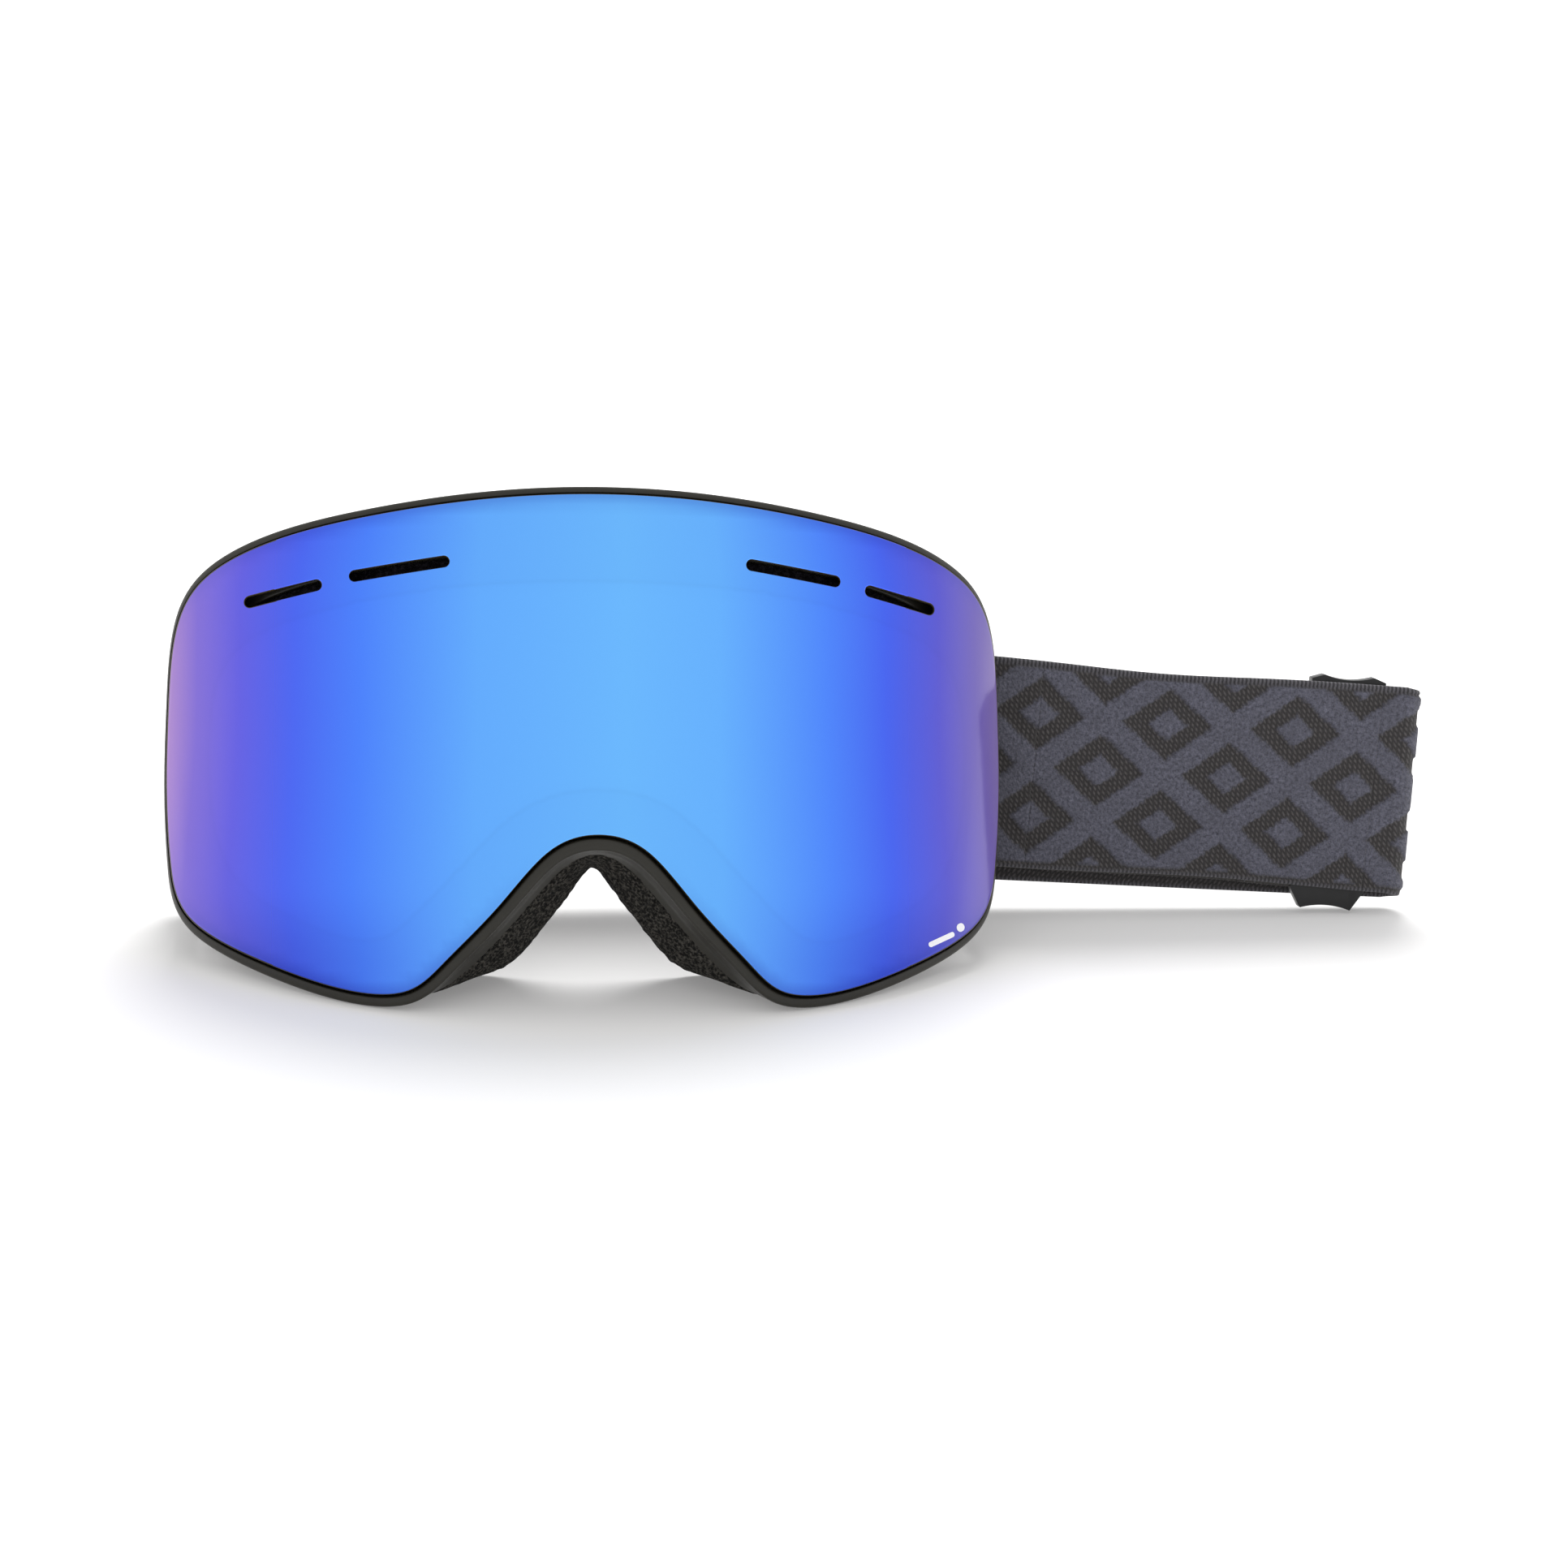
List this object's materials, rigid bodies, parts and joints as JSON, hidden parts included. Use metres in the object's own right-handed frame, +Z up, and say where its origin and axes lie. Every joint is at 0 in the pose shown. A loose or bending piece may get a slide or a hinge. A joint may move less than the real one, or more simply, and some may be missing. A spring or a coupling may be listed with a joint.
{
  "type": "ski goggles",
  "caption": "Ski goggles with a large mirrored cylindrical lens held by magnets, a foam-sealed frame and an adjustable elastic strap folded flat to one side.",
  "frame": {"origin": "on the resting plane, in the goggles' symmetry plane, under the front of the lens", "axes": "+Z up from the resting plane, +Y from the lens towards the face, +X to the wearer's left, where the strap is folded"},
  "size_m": [0.2675, 0.082, 0.1002],
  "materials": {
    "lens_mirror": "mirror coated, blue",
    "lens_clear": "smoked, clear",
    "carrier_plastic": "satin",
    "magnet_metal": "plated",
    "spacer_foam": "closed cell foam",
    "frame_plastic": "satin urethane",
    "vent_foam": "open foam",
    "seal_foam": "open foam",
    "seal_foam_soft": "fine foam",
    "fleece": "brushed fleece",
    "bracket_plastic": "fine texture",
    "bar_steel": "satin",
    "webbing": "elastic twill with raised pile",
    "webbing_inner": "elastic twill",
    "slider_plastic": "moulded",
    "silicone": "silicone"
  },
  "bodies": {
    "mask_frame": {"face_frame": "frame_plastic", "frame_magnets": "magnet_metal", "top_vent_foam": "vent_foam", "foam_base": "seal_foam", "foam_middle": "seal_foam_soft", "face_fleece": "fleece", "bracket_left": "bracket_plastic", "bracket_right": "bracket_plastic", "strap_bar_left": "bar_steel", "strap_bar_right": "bar_steel", "strap_loop_left": "webbing", "strap_loop_right": "webbing"},
    "lens": {"outer_lens": "lens_mirror", "lens_carrier": "carrier_plastic", "lens_magnets": "magnet_metal", "lens_spacer": "spacer_foam", "inner_lens": "lens_clear"},
    "strap_left": {"strap_left_webbing": "webbing", "strap_left_return": "webbing_inner"},
    "slider_left": {"strap_left_slider": "slider_plastic", "strap_left_tail": "webbing_inner"},
    "strap_back": {"strap_back_webbing": "webbing", "strap_grip_strips": "silicone"},
    "strap_right": {"strap_right_webbing": "webbing", "strap_right_return": "webbing_inner"},
    "slider_right": {"strap_right_slider": "slider_plastic", "strap_right_tail": "webbing_inner"}
  },
  "joints": [
    {"name": "lens_release", "type": "slide", "parent": "mask_frame", "child": "lens", "axis": [0, -0.9397, 0.342], "range_m": [0, 0.05]},
    {"name": "strap_left_swing", "type": "hinge", "parent": "mask_frame", "child": "strap_left", "pos_m": [0.082, 0.0759, 0.0344], "axis": [0, 0, 1], "range_deg": [0, 86]},
    {"name": "strap_fold", "type": "hinge", "parent": "strap_left", "child": "strap_back", "pos_m": [0.17585, 0.08115, 0.0267], "axis": [0, 0, 1], "range_deg": [-86, 0]},
    {"name": "strap_knee", "type": "hinge", "parent": "strap_back", "child": "strap_right", "pos_m": [0.01185, 0.08115, 0.03167], "axis": [0, 0, 1], "range_deg": [0, 86]},
    {"name": "slider_left_adjust", "type": "slide", "parent": "strap_left", "child": "slider_left", "axis": [0.9951, 0.0556, -0.0816], "range_m": [-0.03, 0], "deforming": ["strap_left_return"]},
    {"name": "slider_right_adjust", "type": "slide", "parent": "strap_right", "child": "slider_right", "axis": [0.998, 0.0558, -0.029], "range_m": [-0.015, 0], "deforming": ["strap_right_return"]}
  ],
  "couplings": [
    {"joint": "strap_fold", "follows": "strap_left_swing", "ratio": -1},
    {"joint": "strap_knee", "follows": "strap_left_swing", "ratio": 1}
  ]
}
